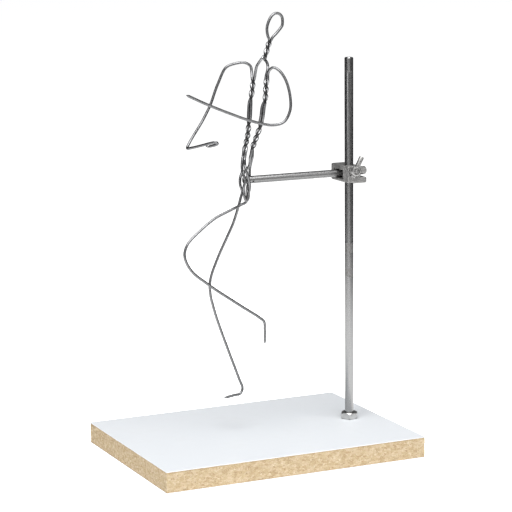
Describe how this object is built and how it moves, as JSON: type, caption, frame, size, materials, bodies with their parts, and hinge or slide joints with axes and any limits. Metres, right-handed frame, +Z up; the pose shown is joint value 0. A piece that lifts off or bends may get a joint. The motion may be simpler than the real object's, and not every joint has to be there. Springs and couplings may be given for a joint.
{
  "type": "wire sculpture",
  "caption": "Striding figure bent from twisted wire, held by a bar and a cross clamp on an upright rod in a white-faced board.",
  "frame": {"origin": "middle of the board's underside, where it rests on the table", "axes": "+Z up along the upright rod, +X along the board towards the rod, +Y across the board away from the viewer; the figure faces -X"},
  "size_m": [0.3, 0.22, 0.4735],
  "materials": {
    "board": "white laminate faces, raw speckled chipboard edges",
    "nut": "plated, lightly worn",
    "rod": "bright drawn, with handling marks",
    "clamp": "cast zinc alloy, dull",
    "rod_screw": "plated, satin",
    "bar_screw": "plated, satin",
    "bar": "bright drawn",
    "wire": "dull drawn wire with plier marks"
  },
  "bodies": {
    "stand": {"base_board": "board", "foot_nut": "nut"},
    "column": {"upright_rod": "rod"},
    "clamp": {"clamp_body": "clamp"},
    "rod_clamping_screw": {"rod_screw": "rod_screw", "rod_screw_handle": "rod_screw"},
    "bar_clamping_screw": {"bar_screw": "bar_screw"},
    "bar": {"support_bar": "bar"},
    "figure": {"body_wire": "wire", "arm_wire": "wire"}
  },
  "joints": [
    {"name": "clamp_swing", "type": "hinge", "parent": "stand", "child": "column", "pos_m": [0.114, -0.003, 0.023], "axis": [0, 0, 1], "continuous": true},
    {"name": "clamp_height", "type": "slide", "parent": "column", "child": "clamp", "axis": [0, 0, 1], "range_m": [-0.03, 0.11]},
    {"name": "rod_screw_turn", "type": "hinge", "parent": "clamp", "child": "rod_clamping_screw", "pos_m": [0.114, -0.02, 0.301], "axis": [0, -1, 0], "range_deg": [0, 360]},
    {"name": "bar_screw_turn", "type": "hinge", "parent": "clamp", "child": "bar_clamping_screw", "pos_m": [0.114, 0.02, 0.296], "axis": [0, 1, 0], "range_deg": [0, 360]},
    {"name": "bar_reach", "type": "slide", "parent": "clamp", "child": "bar", "axis": [1, 0, 0], "range_m": [-0.005, 0.06]},
    {"name": "figure_roll", "type": "hinge", "parent": "bar", "child": "figure", "pos_m": [-0.006, 0.01031, 0.296], "axis": [1, 0, 0], "continuous": true}
  ]
}
